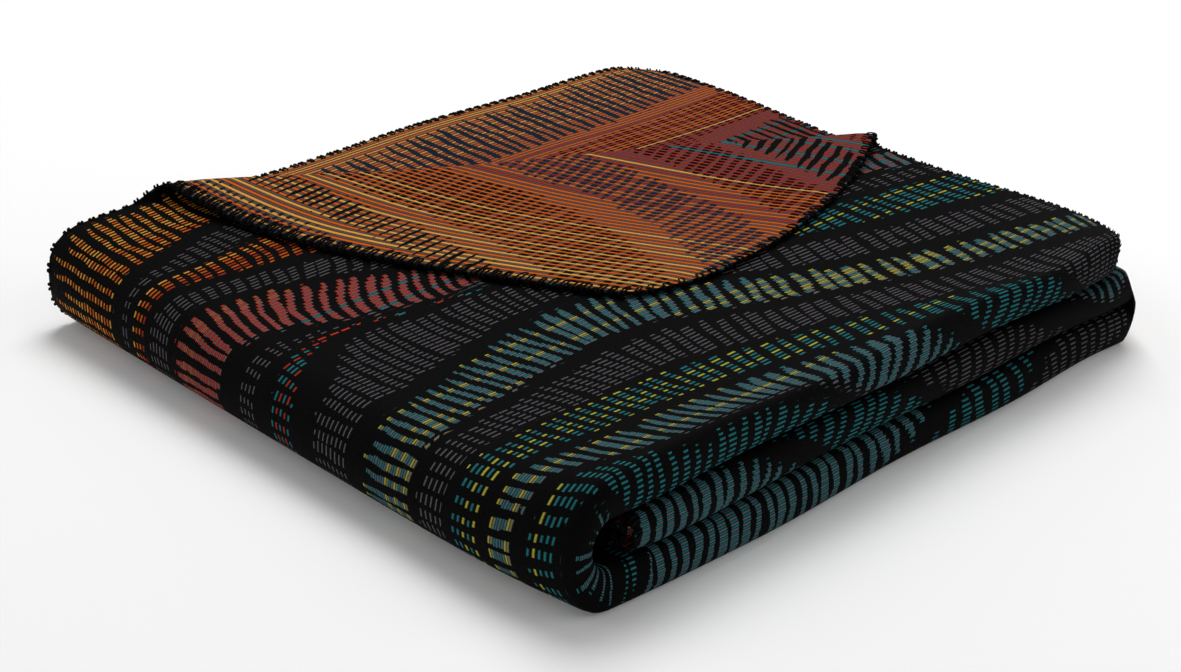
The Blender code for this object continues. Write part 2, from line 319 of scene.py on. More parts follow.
@dataclass(frozen=True)
class Settling:
    """How the neat stack settles: loft and droop as shares of its height, their reaches, and slow waves."""

    near_loft: float = 0.43
    near_reach: float = 0.125
    back_loft: float = 0.24
    far_corner_loft: float = 0.27
    right_droop: float = 0.06
    left_droop: float = 0.08
    left_reach: float = 0.100
    far_tip_droop: float = 0.20
    far_tip_reach: float = 0.100
    near_corner_tuck: float = 0.006
    near_corner_reach: float = 0.070
    low_crease: float = 0.36
    high_crease: float = 0.665
    top_tuck: float = 0.069
    low_tuck: float = 0.050
    tuck_start: float = 0.6
    tuck_depth: float = 0.3
    wave_slant: float = 0.4
    top_wave: Wave = Wave(0.19, 0.0010)
    near_wave: Wave = Wave(0.17, 0.0012, 5.0)
    back_wave: Wave = Wave(0.23, 0.0016, 9.0)
    side_wave: Wave = Wave(0.23, 0.0016, 7.0)

    def level(self, share_z: Array, near: Array) -> Array:
        """Moves the two creases of the near side to their own heights.

        Args:
            share_z: height as a share of the stack.
            near: 1 at the near side, falling to 0.

        Returns:
            The new share of the height.
        """
        low_flat, high_flat = 1 / 3, 2 / 3
        low = low_flat + (self.low_crease - low_flat) * near
        high = high_flat + (self.high_crease - high_flat) * near
        under = share_z / low_flat * low
        between = low + (share_z - low_flat) * 3 * (high - low)
        over = high + (share_z - high_flat) * 3 * (1 - high)
        return np.where(share_z < low_flat, under, np.where(share_z < high_flat, between, over))

    def apply(self, sizes: FoldSizes, x: Array, y: Array, z: Array) -> Array:
        """Scales the height by the loft, draws the near corner in, and adds slow waves.

        Args:
            sizes: the stack's sizes.
            x: places in the neat stack.
            y: places in the neat stack.
            z: heights in the neat stack.

        Returns:
            The settled points, one row each.
        """
        share_x, share_y = np.clip(x / sizes.width, 0, 1), np.clip(y / sizes.depth, 0, 1)
        near, left = fall(y, self.near_reach), fall(x, self.left_reach)
        share_z = z / sizes.height
        level = self.level(share_z, near)
        loft = 1 + self.near_loft * near + self.back_loft * share_y**3
        loft += self.far_corner_loft * share_x**2 * share_y**3 - self.left_droop * left
        loft -= self.right_droop * share_x**3
        loft -= self.far_tip_droop * fall(np.hypot(sizes.width - x, sizes.depth - y), self.far_tip_reach)
        top = self.top_wave.at(x + self.wave_slant * y, share_z) * np.clip(level, 0, 1) ** 2
        past_start = np.clip(share_x - self.tuck_start, 0, 1) / (1 - self.tuck_start)
        corner = past_start**2 * fall(share_y, self.tuck_depth)
        tuck = corner * np.where(share_z > 2 / 3, self.top_tuck, self.low_tuck)
        draw_in = self.near_corner_tuck * fall(x, self.near_corner_reach) * fall(y, self.near_corner_reach)
        new_x = x - tuck + self.side_wave.at(y, share_z) * share_x**2 + draw_in
        new_y = y + self.near_wave.at(x, share_z) * near + self.back_wave.at(x, share_z) * share_y**2
        return np.column_stack((new_x, new_y + draw_in, level * sizes.height * loft + top))


class FoldedSheet:
    """Maps places of the flat sheet to the folded blanket."""

    def __init__(self) -> None:
        """Joins the folds, the turned corner and the settling."""
        self.sizes = FoldSizes()
        self.long_way = LetterFold(self.sizes)
        self.short_way = QuarterFold(self.sizes)
        self.corner = TurnedCorner()
        self.settling = Settling()
        self.length = float(self.long_way.ends[-1])
        self.breadth = float(self.short_way.ends[-1])
        self.shift = np.zeros(3)

    def on_top(self, u: Array, v: Array) -> Array:
        """Returns which places belong to the top layer."""
        return (u < self.long_way.ends[1]) & (v < self.short_way.ends[1])

    def past_crease(self, u: Array, v: Array) -> Array:
        """Returns how far places of the top layer lie past the turned corner's crease."""
        return self.corner.past(self.sizes.end_x - u, self.sizes.depth - v)

    def place(self, u: Array, v: Array, w: Array) -> Array:
        """Folds places of the flat sheet.

        Args:
            u: places along the long way.
            v: places along the short way.
            w: heights through the cloth.

        Returns:
            The folded points in the row frame, one row each.
        """
        y, height = self.short_way.place(v, w)
        x, z = self.long_way.place(u, height)
        x, y, z = self.corner.turn_back(self.sizes, x, y, z, self.on_top(u, v))
        return self.settling.apply(self.sizes, x, y, z) - self.shift

    def centre_on(self, points: Array, low: Vector, high: Vector) -> None:
        """Shifts the folded places so that the points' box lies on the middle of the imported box.

        Args:
            points: folded points of the whole sheet.
            low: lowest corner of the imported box.
            high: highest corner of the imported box.
        """
        box_low, box_high = points.min(axis=0), points.max(axis=0)
        middle = (box_low + box_high) / 2 - (np.array(low) + np.array(high)) / 2
        self.shift = self.shift + np.array((middle[0], middle[1], box_low[2] - low[2]))


class Hem:
    """The rim of the flat sheet: a rectangle with rounded corners, followed by its length."""

    def __init__(self, width: float, height: float, radius: float, steps: int = 24) -> None:
        """Works out the rim's points, the way that it faces at each, and its length up to each.

        Args:
            width: size along u.
            height: size along v.
            radius: radius of the corners.
            steps: cuts of each corner's arc.
        """
        self.width, self.height, self.radius = width, height, radius
        arc = np.linspace(0, np.pi / 2, steps + 1)
        corners = ((1, 1, 0.0), (0, 1, 0.5), (0, 0, 1.0), (1, 0, 1.5))
        self.angle = np.append([arc + np.pi * turn for _, _, turn in corners], 2 * np.pi)
        u_middle = np.repeat([radius + right * (width - 2 * radius) for right, _, _ in corners], steps + 1)
        v_middle = np.repeat([radius + top * (height - 2 * radius) for _, top, _ in corners], steps + 1)
        self.u = np.append(u_middle, u_middle[0]) + radius * np.cos(self.angle)
        self.v = np.append(v_middle, v_middle[0]) + radius * np.sin(self.angle)
        self.along = np.concatenate([[0.0], np.cumsum(np.hypot(np.diff(self.u), np.diff(self.v)))])
        self.length = float(self.along[-1])

    def at(self, along: Array, inwards: Array) -> tuple[Array, Array]:
        """Finds places by the rim.

        Args:
            along: how far along the rim they are.
            inwards: how far in from it they are.

        Returns:
            Their u and v.
        """
        along = np.mod(along, self.length)
        angle = np.interp(along, self.along, self.angle)
        u = np.interp(along, self.along, self.u) - inwards * np.cos(angle)
        v = np.interp(along, self.along, self.v) - inwards * np.sin(angle)
        return u, v

    def inset(self, u: Array, v: Array) -> Array:
        """Measures how far in from the rim places lie: the distance to a rounded rectangle.

        Args:
            u: places along the long way.
            v: places along the short way.

        Returns:
            The distance in metres.
        """
        du = np.abs(u - self.width / 2) - self.width / 2 + self.radius
        dv = np.abs(v - self.height / 2) - self.height / 2 + self.radius
        outside = np.hypot(np.clip(du, 0, None), np.clip(dv, 0, None))
        return self.radius - outside - np.clip(np.maximum(du, dv), None, 0)


# The woven design


class Stroke(Enum):
    """Kinds of band on the dark face: which of each pair of picks shows inside its strokes."""

    PLAIN = (0.0, 0.0)
    GREY = (0.0, 1.0)
    COLOUR = (1.0, 0.0)
    BLADE = (1.0, 1.0)


class Mark(Enum):
    """Kinds of band on the bright face: which of each pair of picks is darkened, and whether to blue."""

    PLAIN = (0.0, 0.0, 0.0)
    DASH = (0.0, 1.0, 0.0)
    BLUE_DASH = (0.0, 1.0, 1.0)
    BLUE = (1.0, 1.0, 1.0)
    BLACK = (1.0, 1.0, 0.0)


class Yarn(Enum):
    """Yarn colours, as sRGB shares of 255."""

    BLACK = (9, 8, 8)
    GREY = (100, 96, 102)
    TEAL = (38, 118, 124)
    YELLOW = (182, 178, 64)
    AMBER = (230, 163, 68)
    ORANGE = (212, 98, 22)
    RED = (166, 52, 38)
    CORAL = (200, 60, 36)
    NAVY = (26, 42, 56)
    WEFT_GREY = (92, 78, 78)

    @property
    def linear(self) -> Colour:
        """The colour as Blender's shaders take it.

        Returns:
            Linear shares of red, green and blue.
        """
        shares = np.array(self.value) / 255
        low = shares / 12.92
        high = ((shares + 0.055) / 1.055) ** 2.4
        red, green, blue = np.where(shares <= 0.04045, low, high)
        return float(red), float(green), float(blue)


@dataclass(frozen=True)
class Band:
    """One band: its kind, where it ends, how far that edge spreads left and right, and its strokes' share."""

    kind: Stroke | Mark
    end: float
    left: float = 0.0
    right: float = 0.0
    fill: float = 0.60


@dataclass(frozen=True)
class Weft:
    """One run of weft: where it ends, its main yarn, its second yarn, and the second yarn's share."""

    end: float
    main: Yarn
    second: Yarn
    share: float


DARK_BANDS = (
    Band(Stroke.PLAIN, 0.005),
    Band(Stroke.COLOUR, 0.032, 0.020, 0.0, 0.50),
    Band(Stroke.PLAIN, 0.038, 0.024),
    Band(Stroke.GREY, 0.071, 0.005, 0.0, 0.60),
    Band(Stroke.PLAIN, 0.074, 0.006),
    Band(Stroke.COLOUR, 0.114, -0.012, -0.022, 0.58),
    Band(Stroke.PLAIN, 0.118, -0.013, -0.026),
    Band(Stroke.GREY, 0.142, -0.004, -0.036, 0.66),
    Band(Stroke.PLAIN, 0.146, -0.003, -0.038),
    Band(Stroke.BLADE, 0.193, 0.0, -0.062, 0.53),
    Band(Stroke.PLAIN, 0.1945, 0.005, -0.064),
    Band(Stroke.GREY, 0.1955, 0.010, -0.048, 0.5),
    Band(Stroke.PLAIN, 0.1962, 0.012, -0.044),
    Band(Stroke.COLOUR, 0.1975, 0.015, -0.004, 0.55),
    Band(Stroke.PLAIN, 0.200, 0.016, 0.001),
    Band(Stroke.GREY, 0.231, 0.0, 0.002, 0.66),
    Band(Stroke.PLAIN, 0.236, 0.004, 0.008),
    Band(Stroke.BLADE, 0.277, 0.010, -0.003, 0.56),
    Band(Stroke.PLAIN, 0.283, 0.006, 0.002),
    Band(Stroke.GREY, 0.322, 0.003, 0.0, 0.64),
    Band(Stroke.PLAIN, 0.327, 0.003),
    Band(Stroke.COLOUR, 0.359, -0.009, 0.0, 0.52),
    Band(Stroke.PLAIN, 0.364, -0.011),
    Band(Stroke.BLADE, 0.397, -0.027, 0.0, 0.56),
    Band(Stroke.PLAIN, 0.402, -0.024),
    Band(Stroke.COLOUR, 0.440, -0.043, 0.0, 0.55),
    Band(Stroke.PLAIN, 0.445, -0.046),
    Band(Stroke.BLADE, 0.490),
    Band(Stroke.PLAIN, 0.495),
    Band(Stroke.BLADE, 0.535),
    Band(Stroke.PLAIN, 0.541),
    Band(Stroke.COLOUR, 0.600),
)
BRIGHT_BANDS = (
    Band(Mark.BLUE_DASH, 0.013, fill=0.45),
    Band(Mark.PLAIN, 0.018),
    Band(Mark.BLACK, 0.033, fill=0.42),
    Band(Mark.PLAIN, 0.037),
    Band(Mark.DASH, 0.071, fill=0.62),
    Band(Mark.PLAIN, 0.079),
    Band(Mark.BLUE_DASH, 0.111, fill=0.60),
    Band(Mark.PLAIN, 0.121),
    Band(Mark.DASH, 0.156, fill=0.62),
    Band(Mark.PLAIN, 0.161),
    Band(Mark.BLACK, 0.205, fill=0.48),
    Band(Mark.PLAIN, 0.211),
    Band(Mark.DASH, 0.260, fill=0.5),
    Band(Mark.BLUE, 0.310, fill=0.5),
    Band(Mark.PLAIN, 0.320),
)
MIRRORED_BRIGHT_BANDS = (
    Band(Mark.PLAIN, 0.013),
    Band(Mark.BLUE, 0.074, fill=0.50),
    Band(Mark.PLAIN, 0.079),
    Band(Mark.DASH, 0.124, fill=0.58),
    Band(Mark.PLAIN, 0.129),
    Band(Mark.BLACK, 0.176, fill=0.48),
    Band(Mark.PLAIN, 0.182),
    Band(Mark.BLUE_DASH, 0.240, fill=0.5),
    Band(Mark.DASH, 0.300, fill=0.5),
    Band(Mark.PLAIN, 0.320),
)
DARK_WEFT = (
    Weft(0.030, Yarn.AMBER, Yarn.ORANGE, 0.45),
    Weft(0.060, Yarn.ORANGE, Yarn.AMBER, 0.42),
    Weft(0.090, Yarn.ORANGE, Yarn.AMBER, 0.22),
    Weft(0.122, Yarn.ORANGE, Yarn.RED, 0.34),
    Weft(0.142, Yarn.CORAL, Yarn.ORANGE, 0.30),
    Weft(0.165, Yarn.CORAL, Yarn.AMBER, 0.07),
    Weft(0.192, Yarn.CORAL, Yarn.TEAL, 0.27),
    Weft(0.222, Yarn.TEAL, Yarn.RED, 0.45),
    Weft(0.262, Yarn.TEAL, Yarn.YELLOW, 0.13),
    Weft(0.292, Yarn.TEAL, Yarn.YELLOW, 0.32),
    Weft(0.326, Yarn.YELLOW, Yarn.TEAL, 0.42),
    Weft(0.350, Yarn.TEAL, Yarn.YELLOW, 0.42),
    Weft(0.385, Yarn.TEAL, Yarn.YELLOW, 0.18),
    Weft(0.440, Yarn.TEAL, Yarn.YELLOW, 0.03),
    Weft(0.560, Yarn.TEAL, Yarn.YELLOW, 0.10),
    Weft(0.700, Yarn.CORAL, Yarn.TEAL, 0.15),
    Weft(0.900, Yarn.ORANGE, Yarn.AMBER, 0.30),
)
BRIGHT_WEFT = (
    Weft(0.024, Yarn.AMBER, Yarn.ORANGE, 0.34),
    Weft(0.042, Yarn.ORANGE, Yarn.AMBER, 0.30),
    Weft(0.062, Yarn.ORANGE, Yarn.AMBER, 0.14),
    Weft(0.074, Yarn.ORANGE, Yarn.ORANGE, 0.0),
    Weft(0.078, Yarn.RED, Yarn.RED, 0.0),
    Weft(0.104, Yarn.ORANGE, Yarn.RED, 0.22),
    Weft(0.130, Yarn.RED, Yarn.AMBER, 0.12),
    Weft(0.210, Yarn.RED, Yarn.TEAL, 0.24),
    Weft(0.300, Yarn.RED, Yarn.ORANGE, 0.12),
    Weft(0.450, Yarn.ORANGE, Yarn.AMBER, 0.25),
    Weft(0.600, Yarn.RED, Yarn.ORANGE, 0.20),
    Weft(0.900, Yarn.ORANGE, Yarn.AMBER, 0.30),
)


@dataclass(frozen=True)
class Drafting:
    """Numbers of the woven design: pick and column pitches, and the long waves that the bands follow."""

    pairs_per_metre: float = 372.0
    pairs_slowing: float = 98.0
    bend_pairs: float = 3.0
    columns_per_metre: float = 120.0
    bright_columns: float = 130.0
    column_change: float = 0.20
    column_period: float = 0.90
    repeat: float = 0.471
    bend_half: float = 0.025
    crest_x: float = 0.115
    crest_height: float = 0.133
    crest_softness: float = 0.20
    crest_period: float = 0.80
    crest_over: float = 0.25
    fan_height: float = 0.030
    fan_reach: float = 0.18
    fan_start: float = 0.09
    fan_period: float = 0.24
    fan_end: float = 0.33
    edge_reach: float = 0.05
    left_reach: float = 0.07
    right_start: float = 0.16
    right_reach: float = 0.28
    least_band: float = 0.0008
    strip_offset: float = 0.030
    lip_start: float = 0.027
    lip_reach: float = 0.025
    bend_start: float = 0.395
    bend_reach: float = 0.025
    turning_band: float = 0.600
    bright_rise: float = 0.048
    bright_reach: float = 0.20
    bright_edge_rise: float = 0.014
    bright_edge_end: float = 0.30
    bright_edge_reach: float = 0.20
    bright_edge_width: float = 0.08
    mirrored_rise: float = 0.2
    bright_lean: float = -0.06
    first_column: float = 40.0
    measured_u: float = 0.7
    measured_v: float = 0.3
    measured_steps: int = 6000
    most_stretch: float = 1.8

    def pick(self, v: Array) -> Array:
        """Counts pairs of picks from the free edge; they lie closer there: a v - b v^2."""
        return self.pairs_per_metre * v - self.pairs_slowing * v * v

    def columns(self, u: Array) -> Array:
        """Counts columns of strokes, wider at the free end: the integral of a (1 - b cos)."""
        turn = 2 * np.pi / self.column_period
        return self.columns_per_metre * (u - self.column_change * np.sin(turn * u) / turn)

    def fold_x(self, x: Array) -> Array:
        """Reflects x at each bend of the letter fold, so that the bands repeat on every third."""
        place = np.mod(x + self.bend_half, 2 * self.repeat)
        return np.minimum(place, 2 * self.repeat - place) - self.bend_half

    def shift(self, x: Array, v: Array) -> Array:
        """How far the bands ride away from the free edge.

        To the right of the crest they follow the root of a squared sine and a constant. To its left they
        fan by a sine of v times a cosine of x. Past the fan's reach the sine's troughs stay, turned into
        rises, and its rises have faded out.

        Args:
            x: place along the fold.
            v: distance from the nearest free long edge.

        Returns:
            The shift in metres.
        """
        x = self.fold_x(x)
        wave = np.sin(np.pi * np.clip(x - self.crest_x, 0, None) / self.crest_period)
        crest = self.crest_height * (np.hypot(wave, self.crest_softness) - self.crest_softness)
        fan_turn = 2 * np.pi * (np.clip(v, 0, self.fan_end) - self.fan_start) / self.fan_period
        fan = -self.fan_height * np.sin(fan_turn)
        side = np.cos(np.pi * np.clip(x, 0, self.fan_reach) / self.fan_reach)
        side = np.where(fan < 0, side, (side + 1) / 2)
        return crest * ease(v / self.crest_over) + fan * side * ease(v / self.edge_reach)


class Design:
    """The weave's coordinates on the flat sheet: columns, picks and bands of either face."""

    def __init__(self, sheet: FoldedSheet) -> None:
        """Measures the sheet along one line each way.

        Args:
            sheet: the folded sheet.
        """
        self.draft = draft = Drafting()
        self.half = sheet.breadth / 2
        self.end_x = sheet.sizes.end_x
        across, along = (np.linspace(0, size, draft.measured_steps) for size in (sheet.breadth, sheet.length))
        self.across = self.surface_length(sheet, across, np.full_like(across, draft.measured_u), across)
        self.along = self.surface_length(sheet, along, along, np.full_like(along, draft.measured_v))

    def surface_length(self, sheet: FoldedSheet, cut: Array, u: Array, v: Array) -> tuple[Array, Array]:
        """Measures the settled cloth along a line, so that picks and columns keep their pitch on it.

        Args:
            sheet: the folded sheet.
            cut: even places along the line.
            u: their places along the long way.
            v: their places along the short way.

        Returns:
            The places along the line and the length of cloth up to each.
        """
        points = sheet.place(u, v, np.full_like(cut, sheet.sizes.thick / 2))
        steps = np.linalg.norm(np.diff(points, axis=0), axis=1)
        steps = np.clip(steps, 0, self.draft.most_stretch * (cut[1] - cut[0]))
        return cut, np.concatenate([[0.0], np.cumsum(steps)])

    def bands(self, rows: Sequence[Band], x: Array, v: Array) -> Array:
        """Counts bands from the edge: each adds from 0 to 1 across its own width.

        Args:
            rows: the bands in order.
            x: place along the fold, from its left end to its right one.
            v: distance from the free edge, with the bands' shift taken off.

        Returns:
            The band number with its share of the band.
        """
        left = ease(1 - x / self.draft.left_reach)
        right = ease((x - self.draft.right_start) / self.draft.right_reach)
        counted, start = np.zeros_like(v), np.zeros_like(v)
        for row in rows:
            end = row.end + row.left * left + row.right * right
            end = np.maximum(end, start + self.draft.least_band)
            counted = counted + np.clip((v - start) / (end - start), 0, 1)
            start = end
        return counted

    def dark(self, x: Array, v: Array) -> Array:
        """Counts the dark face's bands; past the turning band they come back in reverse.

        Args:
            x: place along the fold.
            v: distance from the nearest free long edge.

        Returns:
            The band number with its share of the band.
        """
        draft = self.draft
        past_lip = ease((-x - draft.lip_start) / draft.lip_reach)
        lowered = v - draft.shift(x, v) - draft.strip_offset * past_lip
        turned = draft.turning_band - np.abs(lowered - draft.turning_band)
        return self.bands(DARK_BANDS, np.maximum(draft.fold_x(x), draft.left_reach * past_lip), turned)

    def bright(self, x: Array, v: Array, mirrored: Array) -> Array:
        """Counts the bright face's bands, which rise towards the free end; each half has its own.

        Args:
            x: place along the fold.
            v: distance from the nearest free long edge.
            mirrored: which places lie past the middle of the sheet.

        Returns:
            The band number with its share of the band.
        """
        draft = self.draft
        u = self.end_x - x
        rise = draft.bright_rise * fall(np.abs(u), draft.bright_reach)
        near_end = ease((draft.bright_edge_end - u) / draft.bright_edge_reach)
        rise = rise + draft.bright_edge_rise * near_end * (1 - ease(v / draft.bright_edge_width))
        first_end, second_end = BRIGHT_BANDS[-1].end, MIRRORED_BRIGHT_BANDS[-1].end
        first = self.bands(BRIGHT_BANDS, x, np.mod(v + rise, first_end))
        second = self.bands(MIRRORED_BRIGHT_BANDS, x, np.mod(v + rise * draft.mirrored_rise, second_end))
        return np.where(mirrored, len(BRIGHT_BANDS) + second, first)

    def coordinates(self, u: Array, v: Array, bright: bool) -> tuple[Array, ...]:
        """Works out the coordinates of one face.

        Args:
            u: places along the long way.
            v: places along the short way.
            bright: whether this is the bright face.

        Returns:
            Rows of (column, pick), of (band, bands a pair of picks crosses), and of (columns a metre of
            stroke leans, 0).
        """
        draft = self.draft
        mirrored = v > self.half
        length = np.interp(v, *self.across)
        length = np.where(mirrored, self.across[1][-1] - length, length)
        v = np.where(mirrored, 2 * self.half - v, v)
        x = self.end_x - u
        step = 0.001
        if bright:
            band = self.bright(x, v, mirrored)
            slope = (self.bright(x, v + step, mirrored) - band) / step
            column = draft.bright_columns * (np.interp(u, *self.along) - draft.bright_lean * v)
            lean = np.zeros_like(u)
        else:
            band = self.dark(x, v)
            slope = (self.dark(x, v + step) - band) / step
            column = draft.columns(np.interp(u, *self.along))
            per_metre = (draft.columns(u + step) - draft.columns(u)) / step
            # Strokes run square to the bands, so they lean by the slope of the bands' shift
            lean = per_metre * (draft.shift(x - step, v) - draft.shift(x + step, v)) / (2 * step)
        # The cloth of the outer front bend is drawn up, so its picks lie closer
        pick = draft.pick(length) + draft.bend_pairs * ease((v - draft.bend_start) / draft.bend_reach)
        pair = 1 / (draft.pairs_per_metre - 2 * draft.pairs_slowing * v)
        return (
            np.column_stack((column + draft.first_column, pick)),
            np.column_stack((band, slope * pair)),
            np.column_stack((lean, np.zeros_like(lean))),
        )


# Shader nodes


def operation(name: str) -> Callable[..., "Wire"]:
    """Makes a method that adds a Math node.

    Args:
        name: the kind of Math node.

    Returns:
        A method on a wire, which takes the node's other values.
    """

    def method(self: "Wire", *others: "Wire | float") -> "Wire":
        """Adds the node on this value and the others."""
        return self.graph.node("ShaderNodeMath", {"operation": name}, dict(enumerate((self, *others))))

    return method


class Wire:
    """A node's output socket that Python's operators work on, each adding a Math node."""

    __add__ = __radd__ = operation("ADD")
    __mul__ = __rmul__ = operation("MULTIPLY")
    __sub__ = operation("SUBTRACT")
    __truediv__ = operation("DIVIDE")
    __gt__ = operation("GREATER_THAN")
    __lt__ = operation("LESS_THAN")
    smallest = operation("MINIMUM")
    largest = operation("MAXIMUM")
    remainder = operation("FLOORED_MODULO")
    floor = operation("FLOOR")
    fract = operation("FRACT")
    size = operation("ABSOLUTE")
    sine = operation("SINE")

    def __init__(self, graph: "Graph", socket: bpy.types.NodeSocket) -> None:
        """Wraps a socket.

        Args:
            graph: the node graph that it belongs to.
            socket: the output socket.
        """
        self.graph, self.socket = graph, socket

    def __rsub__(self, other: float) -> "Wire":
        """Difference from a number."""
        return (self * -1.0) + other

    def share(self, low: float, high: float) -> "Wire":
        """Goes from 0 at low to 1 at high and stays there."""
        return self.graph.node("ShaderNodeMapRange", {"clamp": True}, {0: self, 1: low, 2: high})


class Graph:
    """A material's node graph."""

    def __init__(self, name: str) -> None:
        """Makes a material with an empty shader.

        Args:
            name: the material's name.
        """
        self.material = bpy.data.materials.new(name)
        self.material.use_nodes = True
        self.tree = self.material.node_tree
        self.shader = self.tree.nodes["Principled BSDF"]

    def node(
        self,
        kind: str,
        settings: dict[str, Any] | None = None,
        values: dict[Any, Any] | None = None,
        out: int = 0,
    ) -> Wire:
        """Adds any node.

        Args:
            kind: the node's type.
            settings: properties set first.
            values: numbers, colours or wires for its inputs, by name or place.
            out: which output to return.

        Returns:
            The chosen output.
        """
        made = self.tree.nodes.new(kind)
        for name, value in (settings or {}).items():
            setattr(made, name, value)
        for key, value in (values or {}).items():
            if isinstance(value, Wire):
                self.tree.links.new(value.socket, made.inputs[key])
            else:
                made.inputs[key].default_value = value
        return Wire(self, made.outputs[out])

    def table(self, stops: Sequence[tuple[float, Sequence[float]]], place: Wire) -> tuple[Wire, Wire]:
        """Looks a place up in a stepped colour ramp.

        Args:
            stops: where each step starts, and its colour and alpha.
            place: the place to look up, from 0 to 1.

        Returns:
            The step's colour and its alpha.
        """
        found = self.node("ShaderNodeValToRGB", None, {0: place})
        ramp = found.socket.node.color_ramp
        ramp.interpolation = "CONSTANT"
        while len(ramp.elements) < len(stops):
            ramp.elements.new(1.0)
        for element, (position, colour) in zip(ramp.elements, stops, strict=True):
            element.position = position
            element.color = colour
        return found, self.outlet(found, 1)

    def noise(self, place: Wire, scale: float, detail: float, dimensions: str = "3D") -> Wire:
        """Returns soft noise about 0.5 at a place."""
        values = {"Vector": place, "Scale": scale, "Detail": detail}
        return self.node("ShaderNodeTexNoise", {"noise_dimensions": dimensions}, values)

    def object_place(self) -> Wire:
        """Returns the place on the object."""
        return self.node("ShaderNodeTexCoord", None, None, 3)

    def outlet(self, wire: Wire, out: int) -> Wire:
        """Returns another output of the node that a wire comes from."""
        return Wire(self, wire.socket.node.outputs[out])

    def split(self, wire: Wire) -> tuple[Wire, Wire, Wire]:
        """Returns the three channels of a colour or vector."""
        red = self.node("ShaderNodeSeparateXYZ", None, {0: wire})
        return red, self.outlet(red, 1), self.outlet(red, 2)

    def join(self, *values: Wire | float) -> Wire:
        """Returns a vector of three values."""
        return self.node("ShaderNodeCombineXYZ", None, dict(enumerate(values)))

    def mix(self, share: Wire | float, first: Any, second: Any) -> Wire:
        """Returns the first colour turning to the second as the share goes to 1."""
        colours = [(*c, 1.0) if isinstance(c, tuple) and len(c) == 3 else c for c in (first, second)]
        return self.node("ShaderNodeMix", {"data_type": "RGBA"}, {0: share, 6: colours[0], 7: colours[1]}, 2)

    def chance(self, *keys: Wire | float) -> Wire:
        """Returns three even random numbers for up to three keys, as a colour."""
        return self.node("ShaderNodeTexWhiteNoise", {"noise_dimensions": "3D"}, {0: self.join(*keys)}, 1)

    def uv(self, name: str) -> tuple[Wire, Wire]:
        """Returns both coordinates of a UV map."""
        across, along, _ = self.split(self.node("ShaderNodeUVMap", {"uv_map": name}))
        return across, along

    def set_constants(self, **values: Any) -> None:
        """Sets inputs of the shader, named with underscores for spaces, to numbers or colours."""
        for name, value in values.items():
            self.shader.inputs[name.replace("_", " ")].default_value = value

    def finish(
        self, colour: Wire, roughness: Wire, height: Wire, depth: float, specular: float
    ) -> bpy.types.Material:
        """Links colour, roughness and a bump to the shader.

        Args:
            colour: base colour.
            roughness: how rough it is.
            height: height of the surface, from 0 to 1.
            depth: the bump's distance in metres.
            specular: how strongly it mirrors light.

        Returns:
            The finished material.
        """
        self.set_constants(Specular_IOR_Level=specular)
        bump = self.node("ShaderNodeBump", None, {"Strength": 1.0, "Distance": depth, "Height": height})
        for name, wire in (("Base Color", colour), ("Roughness", roughness), ("Normal", bump)):
            self.tree.links.new(wire.socket, self.shader.inputs[name])
        return self.material


@dataclass(frozen=True)
class StrokeShape:
    """How strokes vary: in shares of a column across the stroke, and of its band along it."""

    band_offset: float = 9.0
    band_key: float = 3.5
    stroke_key: float = 1.5
    width_sway: float = 0.20
    wobble: float = 0.46
    jitter: float = 0.05
    wobble_steps: tuple[float, float, float] = (5.37, 2.1, 0.18)
    start_spread: float = 0.10
    end: float = 0.995
    end_spread: float = 0.08
    rise: float = 6.0
    blade_slowing: float = 3.2
    least_rise: float = 0.45
    fall: float = 12.0
    least_fall: float = 0.6
    least_width: float = 0.70
    width_spread: float = 0.54
    raggedness: float = 0.22
    edge: tuple[float, float] = (-0.008, 0.018)


@dataclass(frozen=True)
class PickRelief:
    """How the picks stand up: their heights, the warp over them, their grain's shades, and the shade painted
    into the valleys between them.
    """

    split: float = 0.54
    wider_grey: float = 0.08
    narrower_grey: float = 0.20
    grain_place: tuple[float, float, float] = (9.0, 3.1, 6.0)
    grain_shade: float = 0.7
    grey_tint: float = 0.22
    covered_from: float = 0.36
    blue_covers: float = 0.14
    bright_height: float = 0.6
    stroke_height: float = 0.7
    ground_height: float = 0.15
    warps: float = 11.0
    warp_height: float = 0.12
    grain_height: float = 0.2
    # Brightness left at the bottom of the painted shade in the valleys between picks
    painted_valley_shade: float = 0.15
    roughness: float = 0.95
    smoother_grain: float = 0.15


